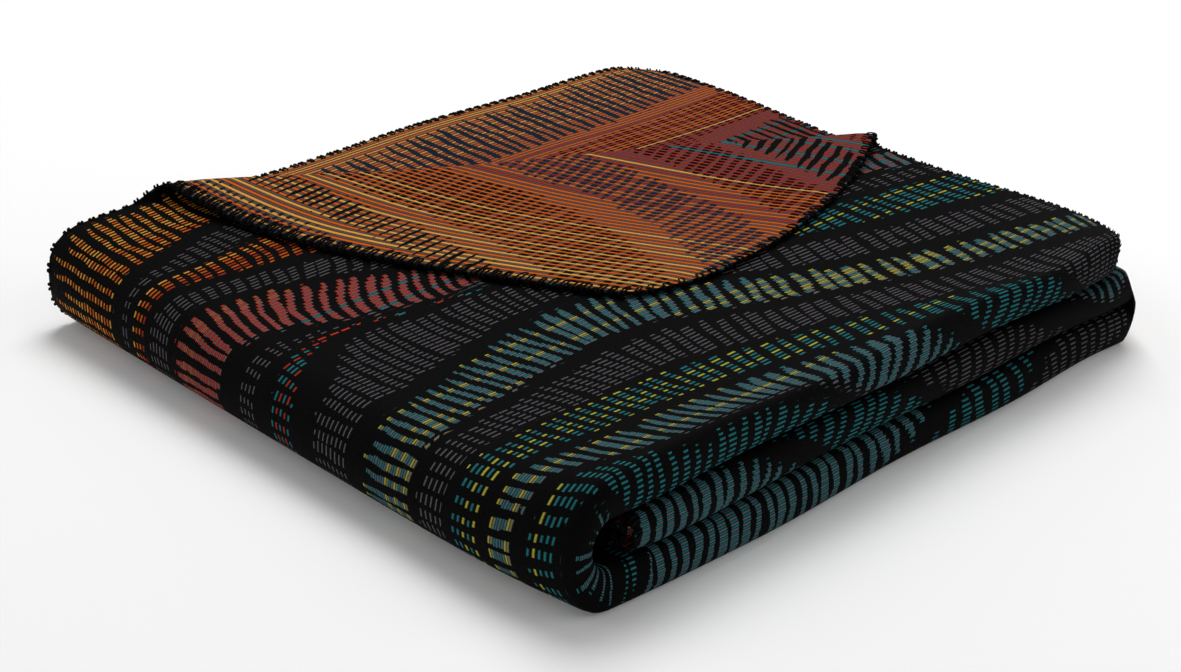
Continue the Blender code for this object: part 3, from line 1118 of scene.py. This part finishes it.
@dataclass(frozen=True)
class Weave:
    """The finish of a woven face: strokes of picks on a ground, from the design's coordinates."""

    name: str
    bright: bool
    bands: tuple[Band, ...]
    weft: tuple[Weft, ...]
    ground: Yarn = Yarn.BLACK
    second_pick: Yarn = Yarn.GREY
    shape: StrokeShape = StrokeShape()
    relief: PickRelief = PickRelief()
    last_pair: float = 336.0
    specular: float = 0.05
    rib_depth: float = 0.0006

    def band_table(self, graph: Graph, number: Wire) -> tuple[Wire, Wire]:
        """Looks a band up by its number.

        Args:
            graph: the node graph.
            number: the band's number.

        Returns:
            Its kind, which on the dark face has its width as third channel, and its fill.
        """
        count = len(self.bands)
        starts = (0.0, *(band.end for band in self.bands[:-1]))
        stops = []
        for row, (start, band) in enumerate(zip(starts, self.bands, strict=True)):
            channels = (*band.kind.value, band.end - start)[:3]
            stops.append((row / count, (*channels, band.fill)))
        place = (number.remainder(float(count)) + 0.5) / float(count)
        return graph.table(stops, place)

    def weft_colour(self, graph: Graph, pair: Wire) -> Wire:
        """Chooses each pair's yarn: the second of its run when a golden-ratio count falls in its share.

        Args:
            graph: the node graph.
            pair: the number of the pair of picks.

        Returns:
            The yarn's colour.
        """
        draft = Drafting()
        starts = (0.0, *(float(draft.pick(np.array(run.end))) / self.last_pair for run in self.weft[:-1]))
        runs = list(zip(starts, self.weft, strict=True))
        place = (pair + 0.5) / self.last_pair
        main, share = graph.table([(start, (*run.main.linear, run.share)) for start, run in runs], place)
        second, _ = graph.table([(start, (*run.second.linear, 1.0)) for start, run in runs], place)
        return graph.mix((pair * GOLDEN).fract() < share, main, second)

    def strokes(self, graph: Graph) -> tuple[Wire, Wire, Wire, Wire, Wire]:
        """Draws the strokes: columns that start narrow, end blunt, wobble and step from pick to pick.

        Args:
            graph: the node graph.

        Returns:
            The stroke's mask, the pair's number, the place in the pair, the band's kind, the column.
        """
        shape = self.shape
        column, pick = graph.uv("weave")
        band, per_pick = graph.uv("bands")
        lean, _ = graph.uv("lean")
        pair, in_pair = pick.floor(), pick.fract()
        centred = band + (0.5 - in_pair) * per_pick
        number, in_band = centred.floor(), centred.fract()
        kind, fill = self.band_table(graph, number)
        first_kind, second_kind, third = graph.split(kind)
        offset, _, _ = graph.split(graph.chance(number, shape.band_key, float(self.bright)))
        moved = column + offset * shape.band_offset
        if not self.bright:
            moved = moved + lean * third * (in_band - 0.5)
        which, across = moved.floor(), moved.fract()
        width_chance, start_chance, end_chance = graph.split(graph.chance(which, number, shape.stroke_key))
        side_chance, ragged, _ = graph.split(graph.chance(which, pair, number))
        per_column, per_band, per_pair = shape.wobble_steps
        wobble_place = graph.join(which * per_column + number * per_band, pair * per_pair, 0.0)
        wobble = graph.noise(wobble_place, 1.0, 1.0, "2D")
        sway = (width_chance - 0.5) * shape.width_sway + (wobble - 0.5) * shape.wobble
        centre = sway + (side_chance - 0.5) * shape.jitter + 0.5
        start = start_chance * shape.start_spread
        end = shape.end - end_chance * shape.end_spread
        steepness = shape.rise - first_kind * second_kind * shape.blade_slowing
        rise = ((in_band - start) * steepness + shape.least_rise).smallest(1.0)
        fall_off = ((end - in_band) * shape.fall + shape.least_fall).smallest(1.0)
        width = end_chance * shape.width_spread + shape.least_width
        rough_edge = ragged * shape.raggedness + (1 - shape.raggedness / 2)
        half = fill * 0.5 * width * rough_edge * rise * fall_off
        inside = (half - (across - centre).size()).share(*shape.edge)
        return inside * (in_band > start) * (in_band < end), pair, in_pair, kind, column

    def make(self) -> bpy.types.Material:
        """Lays the picks' colours inside and outside the strokes, and raises their ribs.

        Returns:
            The finished weave.
        """
        graph, relief = Graph(self.name), self.relief
        inside, pair, in_pair, kind, column = self.strokes(graph)
        first_kind, second_kind, blue = graph.split(kind)
        # On the dark face the grey pick is the wider one in a blade, and the narrower one on its own
        grey_share = (relief.wider_grey - first_kind * relief.narrower_grey) * second_kind
        split = relief.split + grey_share * float(not self.bright)
        first_part = in_pair < split
        colour = self.weft_colour(graph, pair)
        per_column, per_pair, in_one = relief.grain_place
        grain_place = graph.join(column * per_column, pair * per_pair + in_pair * in_one, 0.0)
        grain = graph.noise(grain_place, 1.0, 2.0, "2D")
        visible = first_part * first_kind + (1.0 - first_part) * second_kind
        if self.bright:
            base = graph.mix(first_part, self.second_pick.linear, colour)
            dark = graph.mix(blue, self.ground.linear, Yarn.NAVY.linear)
            # A dark dash fills the grey pick and swells over a little of the coloured one
            covered = (in_pair > relief.covered_from - blue * relief.blue_covers) * second_kind
            shown = graph.mix(inside * visible.largest(covered), base, dark)
            raised = relief.bright_height
        else:
            grey = graph.mix(first_kind * relief.grey_tint, self.second_pick.linear, colour)
            yarn = graph.mix(first_part, grey, colour)
            shown = graph.mix(inside * visible, self.ground.linear, yarn)
            raised = inside * visible * relief.stroke_height + relief.ground_height
        thread = (in_pair / split) * first_part + ((in_pair - split) / (1.0 - split)) * (1.0 - first_part)
        rib = (thread * np.pi).sine()
        warp = ((column * relief.warps + pair * 0.5) * np.pi).sine().size()
        height = rib * raised + warp * relief.warp_height + grain * relief.grain_height
        # Painted shade: the valleys between picks are darkened against their crowns
        painted_rib_shade = rib * (1 - relief.painted_valley_shade) + relief.painted_valley_shade
        shade = (grain - 0.5) * relief.grain_shade + 1.0
        shown = graph.mix(painted_rib_shade * shade, NO_LIGHT, shown)
        roughness = relief.roughness - grain * relief.smoother_grain
        return graph.finish(shown, roughness, height, self.rib_depth, self.specular)


@dataclass(frozen=True)
class EdgeYarn:
    """The finish of the black edging yarn: two-ply, dull, with a little lint."""

    name: str = "edging_yarn"
    colour: Yarn = Yarn.BLACK
    lint: Yarn = Yarn.GREY
    plies: float = 2.0
    plies_per_metre: float = 900.0
    lint_scale: float = 900.0
    lint_range: tuple[float, float] = (0.62, 0.85)
    lint_share: float = 0.35
    painted_valley_shade: float = 0.5
    # Brightness left at the bottom of the painted shade between the plies
    roughness: float = 0.9
    smoother_lint: float = 0.1
    specular: float = 0.08
    ply_depth: float = 0.0003

    def make(self) -> bpy.types.Material:
        """Twists two plies round the yarn and dusts it with lint.

        Returns:
            The finished yarn.
        """
        graph = Graph(self.name)
        around, along = graph.uv("yarn")
        ply = ((along * self.plies_per_metre + around * self.plies) * np.pi).sine().size()
        lint = graph.noise(graph.object_place(), self.lint_scale, 2.0)
        dusted = lint.share(*self.lint_range) * self.lint_share
        shown = graph.mix(dusted, self.colour.linear, self.lint.linear)
        # Painted shade: the valleys between the plies are darkened
        shown = graph.mix(ply * (1 - self.painted_valley_shade) + self.painted_valley_shade, NO_LIGHT, shown)
        roughness = self.roughness - lint * self.smoother_lint
        return graph.finish(shown, roughness, ply, self.ply_depth, self.specular)


@dataclass(frozen=True)
class RimFinish:
    """The finish of the cloth's cut rim between the stitches: packed weft ends, dark with some teal."""

    name: str = "rim_weft"
    patch_scale: float = 160.0
    fibre_scale: float = 1200.0
    teal_range: tuple[float, float] = (0.58, 0.64)
    fibre_shade: float = 0.6
    least_shade: float = 0.3
    roughness: float = 0.95
    smoother_fibre: float = 0.1
    specular: float = 0.05
    fibre_depth: float = 0.0004

    def make(self) -> bpy.types.Material:
        """Mixes teal ends into the dark rim.

        Returns:
            The finished rim.
        """
        graph = Graph(self.name)
        place = graph.object_place()
        patches = graph.noise(place, self.patch_scale, 2.0)
        fibre = graph.noise(place, self.fibre_scale, 1.0)
        shown = graph.mix(patches.share(*self.teal_range), Yarn.BLACK.linear, Yarn.TEAL.linear)
        shown = graph.mix(fibre * self.fibre_shade + self.least_shade, NO_LIGHT, shown)
        roughness = self.roughness - fibre * self.smoother_fibre
        return graph.finish(shown, roughness, fibre, self.fibre_depth, self.specular)


# Pieces


def mesh_object(
    name: str, points: Array, faces: Sequence[Sequence[int]], maps: dict[str, Array]
) -> bpy.types.Object:
    """Makes a smooth-shaded mesh object at the origin.

    Args:
        name: the piece's name.
        points: its points, one row each.
        faces: its faces' corner numbers.
        maps: UV maps by name, one row for each face corner.

    Returns:
        The new object.
    """
    mesh = bpy.data.meshes.new(name)
    mesh.from_pydata(points, [], faces)
    for title, rows in maps.items():
        mesh.uv_layers.new(name=title).uv.foreach_set("vector", rows.astype(np.float32).ravel())
    mesh.polygons.foreach_set("use_smooth", np.ones(len(mesh.polygons), bool))
    mesh.update()
    piece = bpy.data.objects.new(name, mesh)
    bpy.context.scene.collection.objects.link(piece)
    return piece


@dataclass
class BlanketCloth:
    """The woven sheet: two faces a cloth's thickness apart, joined by a rounded rim."""

    sheet: FoldedSheet
    steps_along: tuple[int, ...] = (82, 20, 34, 12, 32)
    steps_across: tuple[int, ...] = (76, 12, 32, 7, 32, 7, 46)
    rim_step: float = 0.0048
    rim_turns: tuple[float, ...] = (0.25, 0.5, 0.75)
    crease_before: float = 0.004
    crease_after: float = 0.006
    crease_spacing: float = 0.0012
    crease_step: float = 0.0048
    crease_overrun: float = 0.2
    rim_thinning: float = 0.52
    rim_reach: float = 0.012
    clear_of_rim: float = 0.45
    crease_clear_of_rim: float = 0.35
    least_area: float = 1e-10

    def __post_init__(self) -> None:
        """Works out the rim."""
        sizes = self.sheet.sizes
        self.hem = Hem(self.sheet.length, self.sheet.breadth, sizes.corner_radius)

    def half_thickness(self, u: Array, v: Array) -> Array:
        """Half the cloth's thickness, less near the rim where the stitches press it."""
        pressed = 1 - ease(self.hem.inset(u, v) / self.rim_reach)
        return self.sheet.sizes.thick / 2 * (1 - self.rim_thinning * pressed)

    @staticmethod
    def cuts(ends: Array, steps: Sequence[int]) -> Array:
        """Cuts each flat or bend into its number of even steps.

        Args:
            ends: where the flats and bends begin and end.
            steps: how many steps each has.

        Returns:
            The places of the cuts.
        """
        spans = zip(ends[:-1], ends[1:], steps, strict=True)
        parts = [np.linspace(start, end, count + 1)[:-1] for start, end, count in spans]
        return np.append(np.concatenate(parts), ends[-1])

    def flat_points(self) -> tuple[Array, int]:
        """Spreads points over the flat sheet: its rim, lines along the crease, and a grid elsewhere.

        Returns:
            The points, with the rim's first, and how many belong to the rim.
        """
        sheet = self.sheet
        inwards = sheet.sizes.thick / 2
        count = round(self.hem.length / self.rim_step)
        along_rim = np.arange(count) * self.hem.length / count
        rim = np.column_stack(self.hem.at(along_rim, np.full(count, inwards)))
        long_cuts = self.cuts(sheet.long_way.ends, self.steps_along)
        short_cuts = self.cuts(sheet.short_way.ends, self.steps_across)
        u, v = (grid.ravel() for grid in np.meshgrid(long_cuts, short_cuts))
        reach = np.pi * sheet.corner.end_radius + self.crease_after
        past = sheet.past_crease(u, v)
        in_strip = sheet.on_top(u, v) & (past > -self.crease_before) & (past < reach)
        inside = self.hem.inset(u, v) > inwards + self.rim_step * self.clear_of_rim
        grid = np.column_stack((u, v))[inside & ~in_strip]
        start, along, normal, length = sheet.corner.axes()
        offsets = np.arange(-self.crease_before + self.crease_spacing / 2, reach, self.crease_spacing)
        places = np.arange(-self.crease_overrun, length + self.crease_overrun, self.crease_step)
        offset, place = (part.ravel() for part in np.meshgrid(offsets, places))
        u = sheet.sizes.end_x - (start[0] + along[0] * place + normal[0] * offset)
        v = sheet.sizes.depth - (start[1] + along[1] * place + normal[1] * offset)
        inside = self.hem.inset(u, v) > inwards + self.rim_step * self.crease_clear_of_rim
        keep = sheet.on_top(u, v) & inside
        return np.concatenate((rim, grid, np.column_stack((u, v))[keep])), count

    def flat_triangles(self) -> tuple[Array, Array, Array]:
        """Joins the flat points into triangles.

        Returns:
            Points, anticlockwise triangles, and the rim's point numbers in order.
        """
        points, count = self.flat_points()
        around = np.arange(count)
        edges = np.column_stack((around, np.roll(around, -1))).tolist()
        found = delaunay_2d_cdt([Vector(p) for p in points.tolist()], edges, [], 1, 1e-6, True)
        flat = np.array([tuple(p) for p in found[0]])
        faces = np.array(found[2])
        corners = flat[faces]
        area = np.cross(corners[:, 1] - corners[:, 0], corners[:, 2] - corners[:, 0])
        faces = np.where(area[:, None] > 0, faces, faces[:, ::-1])[np.abs(area) > self.least_area]
        new_number = np.full(len(points), -1)
        for number, olds in enumerate(found[3]):
            new_number[olds] = number
        return flat, faces, new_number[around]

    def rim_arcs(self, u: Array, v: Array, half: Array) -> list[Array]:
        """Rounds the rim with a half circle through the thickness: out by r cos t and up by r sin t.

        Args:
            u: the rim's places along the long way.
            v: the rim's places along the short way.
            half: half the thickness there.

        Returns:
            Rows of (u, v, height) for each turn of the half circle.
        """
        middle_u = np.clip(u, self.hem.radius, self.hem.width - self.hem.radius)
        middle_v = np.clip(v, self.hem.radius, self.hem.height - self.hem.radius)
        out = np.column_stack((u - middle_u, v - middle_v))
        out = out / np.linalg.norm(out, axis=1)[:, None]
        arcs = []
        for share in self.rim_turns:
            turn = np.pi * (0.5 - share)
            bulge = half * np.cos(turn)
            arcs.append(np.column_stack((u + out[:, 0] * bulge, v + out[:, 1] * bulge, half * np.sin(turn))))
        return arcs

    def weave_maps(self, u: Array, v: Array, total: int, faces: Sequence[Array]) -> dict[str, Array]:
        """Spreads the design's coordinates over the corners of the faces; the rim's own points have none.

        Args:
            u: the flat points' places along the long way.
            v: the flat points' places along the short way.
            total: how many points the whole cloth has.
            faces: the dark, the bright and the rim's faces.

        Returns:
            UV maps by name.
        """
        design, count, maps = Design(self.sheet), len(u), {}
        both = zip(design.coordinates(u, v, False), design.coordinates(u, v, True), strict=True)
        for name, (dark, bright) in zip(("weave", "bands", "lean"), both, strict=True):
            per_point = np.concatenate((dark, bright, np.zeros((total - 2 * count, 2))))
            maps[name] = np.concatenate([per_point[rows.ravel()] for rows in faces])
        return maps

    def make(self) -> bpy.types.Object:
        """Folds both faces and the rim, and gives them their weave coordinates and materials.

        Returns:
            The blanket's cloth.
        """
        flat, triangles, rim = self.flat_triangles()
        u, v = flat.T
        half = self.half_thickness(u, v)
        count = len(flat)
        arcs = self.rim_arcs(u[rim], v[rim], half[rim])
        first_numbers = 2 * count + len(rim) * np.arange(len(arcs))
        rings = [rim, *(np.arange(len(rim)) + first for first in first_numbers), rim + count]
        places = np.concatenate((np.column_stack((u, v, half)), np.column_stack((u, v, -half)), *arcs))
        self.sheet.centre_on(self.sheet.place(*places[: 2 * count].T), *CAD_BOX)
        points = self.sheet.place(*places.T)
        pairs = zip(rings[1:], rings[:-1], strict=True)
        quads = [np.column_stack((low, np.roll(low, -1), np.roll(high, -1), high)) for low, high in pairs]
        faces = (triangles, triangles[:, ::-1] + count, np.concatenate(quads))
        corners = [row for rows in faces for row in rows.tolist()]
        piece = mesh_object("blanket_cloth", points, corners, self.weave_maps(u, v, len(points), faces))
        both_halves = BRIGHT_BANDS + MIRRORED_BRIGHT_BANDS
        for finish in (
            Weave("dark_weave", False, DARK_BANDS, DARK_WEFT),
            Weave("bright_weave", True, both_halves, BRIGHT_WEFT, second_pick=Yarn.WEFT_GREY),
            RimFinish(),
        ):
            piece.data.materials.append(finish.make())
        slots = np.repeat([0, 1, 2], [len(rows) for rows in faces])
        piece.data.polygons.foreach_set("material_index", slots.astype(np.int32))
        LOG.info("cloth: %d faces", len(corners))
        return piece


@dataclass
class EdgeStitches:
    """Black yarn whipped round the whole rim: narrow loops that cross both faces."""

    cloth: BlanketCloth
    pitch: float = 0.0066
    pitch_spread: float = 0.0005
    lengths: tuple[float, float] = (0.70, 1.10)
    leans: tuple[float, float] = (0.05, 0.12)
    widths: tuple[float, float] = (0.75, 1.15)
    slacks: tuple[float, float] = (0.05, 0.35)
    yarn_radius: float = 0.00040
    rim_swell: float = 0.5
    swell_reach: float = 0.0020
    sides: int = 5
    map_step: float = 0.0015
    seed: int = 7

    def path(self, half: float) -> Array:
        """Lays one stitch out flat: up the dark face, over the rim, along the bright face and back.

        Args:
            half: half the cloth's thickness at the rim.

        Returns:
            Rows of (along the rim, in from it, height).
        """
        over = half + self.yarn_radius * 0.7
        leg = [
            (0.0009, 0.0034, half * 0.8),
            (0.0010, 0.0022, over),
            (0.0011, 0.0006, over),
            (0.0011, -0.0009, half * 0.5),
            (0.0011, -0.0009, -half * 0.5),
            (0.0011, 0.0008, -over),
            (0.0014, 0.0030, -over - 0.0003),
            (0.0013, 0.0047, -over - 0.0002),
            (0.0004, 0.0055, -over),
        ]
        there = [(-along, inwards, height) for along, inwards, height in leg]
        return np.array([*there, *leg[::-1]])

    def vary(self, count: int, random: np.random.Generator) -> Array:
        """Leans, lengthens and widens each stitch a little by a seeded draw.

        Args:
            count: how many stitches there are.
            random: where the draws come from.

        Returns:
            Each stitch's rows of (along, inwards, height).
        """
        path = self.path(self.cloth.sheet.sizes.thick / 2 * (1 - self.cloth.rim_thinning))
        length = random.uniform(*self.lengths, count)
        lean = random.normal(*self.leans, count)
        width = random.uniform(*self.widths, count)
        slack = random.uniform(*self.slacks, count)
        inwards = path[:, 1] * np.where(path[:, 1] > 0, length[:, None], slack[:, None])
        along = path[:, 0] * width[:, None] + inwards * lean[:, None] * np.sign(-path[:, 2])
        return np.stack((along, inwards, np.broadcast_to(path[:, 2], along.shape)), axis=-1)

    def rings(self, lines: Array) -> Array:
        """Sets a ring of the yarn square to each line at each point: c + r (n cos t + m sin t).

        The ring's first direction n is carried along the line, and m is square to it. The yarn swells
        towards the rim.

        Args:
            lines: each stitch's rows of (along, inwards, height).

        Returns:
            The rings' points, by stitch, row and side.
        """
        tangent = np.gradient(lines, axis=1)
        tangent = tangent / np.linalg.norm(tangent, axis=-1)[..., None]
        normal = np.zeros_like(lines)
        carried = np.tile([1.0, 0.0, 0.0], (len(lines), 1))
        for row in range(lines.shape[1]):
            ahead = tangent[:, row]
            carried = carried - (carried * ahead).sum(axis=-1)[:, None] * ahead
            carried = carried / np.linalg.norm(carried, axis=-1)[:, None]
            normal[:, row] = carried
        other = np.cross(tangent, normal)
        turn = np.linspace(0, 2 * np.pi, self.sides, endpoint=False)[:, None]
        ring = normal[..., None, :] * np.cos(turn) + other[..., None, :] * np.sin(turn)
        swell = 1 + self.rim_swell * (1 - ease(lines[..., 1] / self.swell_reach))
        return lines[..., None, :] + ring * (self.yarn_radius * swell)[..., None, None]

    def make(self) -> bpy.types.Object:
        """Sweeps a round yarn along every stitch.

        Returns:
            The stitches as one piece.
        """
        hem = self.cloth.hem
        random = np.random.default_rng(self.seed)
        count = round(hem.length / self.pitch)
        starts = np.arange(count) * hem.length / count + random.normal(0, self.pitch_spread, count)
        local = self.rings(self.vary(count, random))
        u, v = hem.at((starts[:, None, None] + local[..., 0]).ravel(), local[..., 1].ravel())
        points = self.cloth.sheet.place(u, v, local[..., 2].ravel())
        grid = np.arange(len(points)).reshape(local.shape[:-1])
        low, high = grid[:, :-1], grid[:, 1:]
        quads = np.stack((low, np.roll(low, -1, 2), np.roll(high, -1, 2), high), axis=-1)
        caps = np.concatenate((grid[:, 0, ::-1], grid[:, -1]))
        side, row = np.arange(self.sides)[:, None], np.arange(local.shape[1] - 1)[:, None, None]
        around = np.broadcast_to((side + np.array([0, 1, 1, 0])) / self.sides, quads.shape)
        ahead = np.broadcast_to((row + np.array([0, 0, 1, 1])) * self.map_step, quads.shape)
        quad_map = np.stack((around, ahead), axis=-1).reshape(-1, 2)
        yarn_map = np.concatenate((quad_map, np.zeros((caps.size, 2))))
        faces = [*quads.reshape(-1, 4).tolist(), *caps.tolist()]
        piece = mesh_object("edge_stitches", points, faces, {"yarn": yarn_map})
        piece.data.materials.append(EdgeYarn().make())
        LOG.info("stitches: %d, %d faces", count, len(faces))
        return piece


@dataclass(frozen=True)
class Lamp:
    """One broad area light: its name, place, power and size."""

    name: str
    place: tuple[float, float, float]
    power: float
    size: float


@dataclass
class Studio:
    """The plain floor, the soft lights and the camera at the photograph's angle."""

    place: tuple[float, float, float] = (-0.646491, -0.654715, 0.422915)
    target: tuple[float, float, float] = (-0.024137, -0.001256, 0.0)
    lens: float = 57.566
    sensor: float = 36.0
    floor_size: float = 12.0
    floor_sides: int = 96
    floor_shade: float = 0.95
    floor_roughness: float = 0.9
    floor_glow: float = 0.07
    surround: float = 0.31
    lamps: tuple[Lamp, ...] = (
        Lamp("key_light", (0.8, 0.6, 2.4), 46.0, 1.6),
        Lamp("fill_light", (1.2, -2.0, 1.4), 9.0, 2.0),
        Lamp("back_light", (-1.6, 2.0, 1.8), 8.0, 2.0),
    )

    def make_floor(self) -> None:
        """Makes the pale floor: a large disc at the blanket's underside."""
        turn = np.linspace(0, 2 * np.pi, self.floor_sides, endpoint=False)
        ring = np.column_stack((np.cos(turn), np.sin(turn), np.zeros_like(turn))) * self.floor_size
        floor = mesh_object("studio_floor", ring, [range(self.floor_sides)], {})
        graph = Graph("floor_paper")
        graph.set_constants(
            Base_Color=(*(self.floor_shade,) * 3, 1.0),
            Roughness=self.floor_roughness,
            Emission_Color=WHITE,
            Emission_Strength=self.floor_glow,
        )
        floor.data.materials.append(graph.material)

    def make_lights(self) -> None:
        """Makes three broad area lights and an even pale surround."""
        for lamp in self.lamps:
            data = bpy.data.lights.new(lamp.name, "AREA")
            data.energy, data.size = lamp.power, lamp.size
            light = bpy.data.objects.new(lamp.name, data)
            light.location = lamp.place
            light.rotation_euler = Vector(lamp.place).to_track_quat("Z", "Y").to_euler()
            bpy.context.scene.collection.objects.link(light)
        world = bpy.data.worlds.new("studio")
        world.use_nodes = True
        background = world.node_tree.nodes["Background"]
        background.inputs["Color"].default_value = WHITE
        background.inputs["Strength"].default_value = self.surround
        bpy.context.scene.world = world
        bpy.context.scene.view_settings.view_transform = "Standard"

    def make_camera(self) -> None:
        """Makes the camera, which looks from its place at its target."""
        data = bpy.data.cameras.new("camera")
        data.lens, data.sensor_width = self.lens, self.sensor
        camera = bpy.data.objects.new("camera", data)
        camera.location = self.place
        line = Vector(self.place) - Vector(self.target)
        camera.rotation_euler = line.to_track_quat("Z", "Y").to_euler()
        bpy.context.scene.collection.objects.link(camera)
        bpy.context.scene.camera = camera


def main() -> None:
    """Builds the cloth, its stitches and the studio, and declares each piece."""
    logging.basicConfig(level=logging.INFO, format="%(name)s %(message)s")
    studio = Studio()
    studio.make_camera()
    studio.make_floor()
    studio.make_lights()
    sheet = FoldedSheet()
    maker = BlanketCloth(sheet)
    cloth = maker.make()
    stitches = EdgeStitches(maker).make()
    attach(cloth, "root")
    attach(stitches, "root")
    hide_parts("blanket")
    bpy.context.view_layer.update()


if __name__ == "__main__":
    main()
